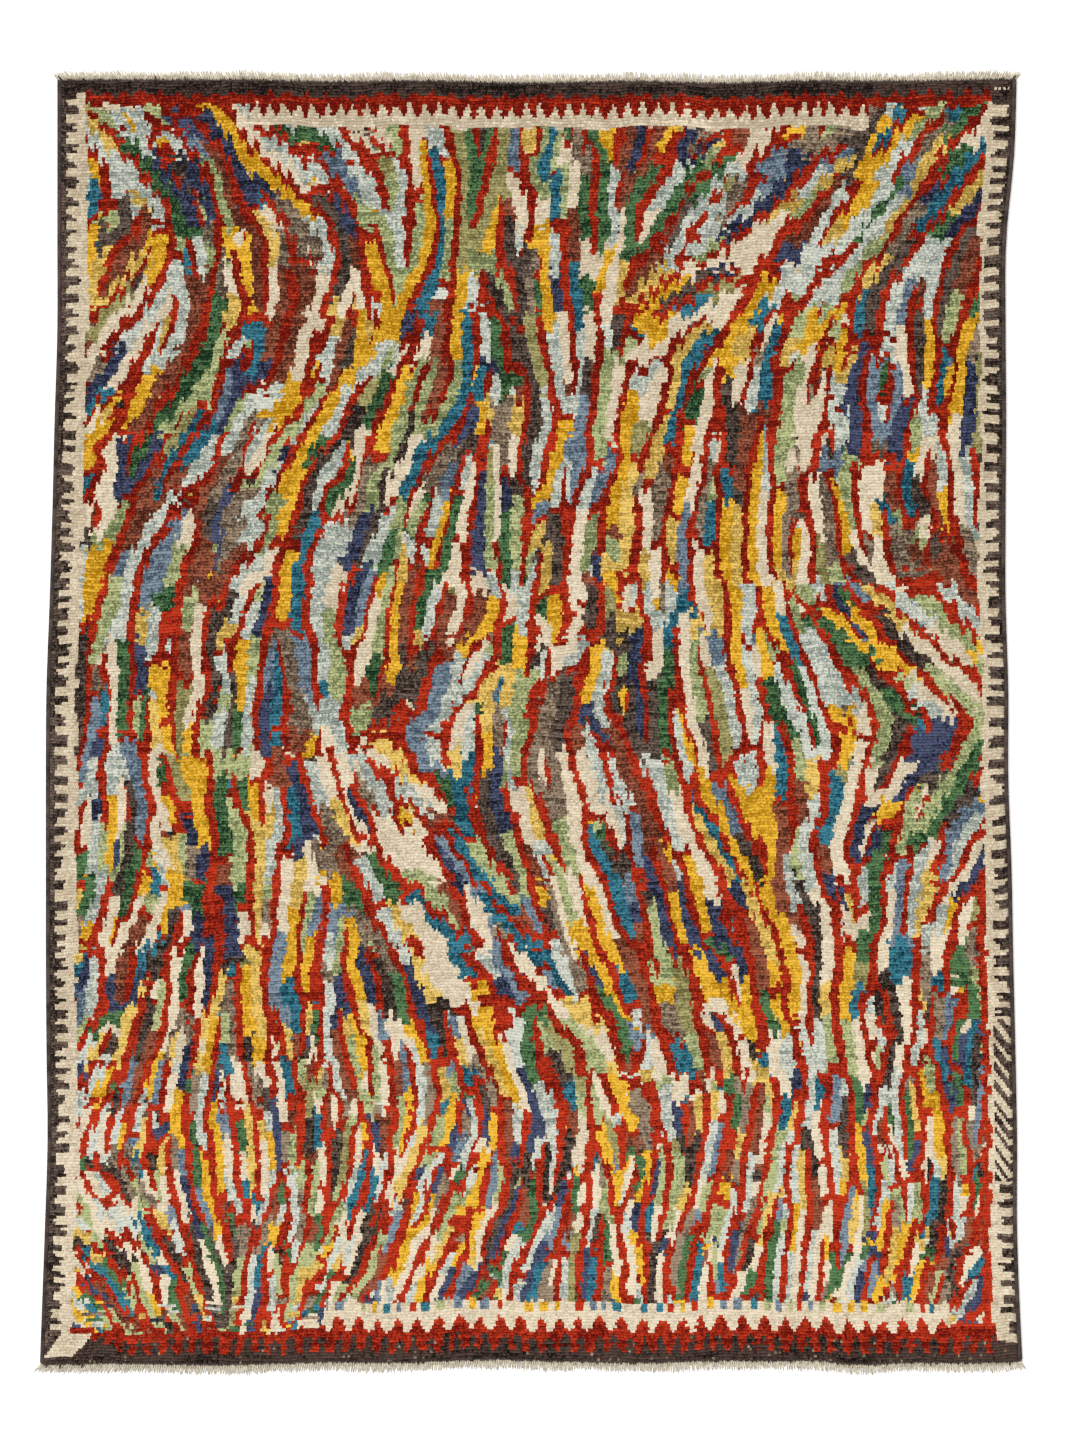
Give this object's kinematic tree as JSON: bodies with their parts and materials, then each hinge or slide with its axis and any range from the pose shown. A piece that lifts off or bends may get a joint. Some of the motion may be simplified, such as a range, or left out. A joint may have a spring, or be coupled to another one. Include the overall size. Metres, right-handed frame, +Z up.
{
  "type": "hand-knotted rug",
  "caption": "Rectangular hand-knotted wool pile rug with wandering multicoloured streaks, a dark and ivory comb border, overcast sides and a short cut warp fringe at each end, lying flat.",
  "frame": {"origin": "centre of the rug's bounding box, on its underside", "axes": "+Y along the rug towards its top end, +X to the right, +Z up out of the pile"},
  "size_m": [1.8026, 2.3722, 0.012],
  "materials": {
    "wool_pile": "hand-knotted wool pile in red, ivory, gold, blues, greens and browns, sheared, with uneven dye from row to row",
    "wool_cord": "charcoal wool yarn wound round the side warps",
    "cotton_warp": "undyed spun cotton, cut and slightly fuzzy"
  },
  "bodies": {
    "root": {"knotted_body": "wool_pile", "selvedge_left": "wool_cord", "selvedge_right": "wool_cord", "fringe_top": "cotton_warp", "fringe_bottom": "cotton_warp"}
  },
  "joints": []
}
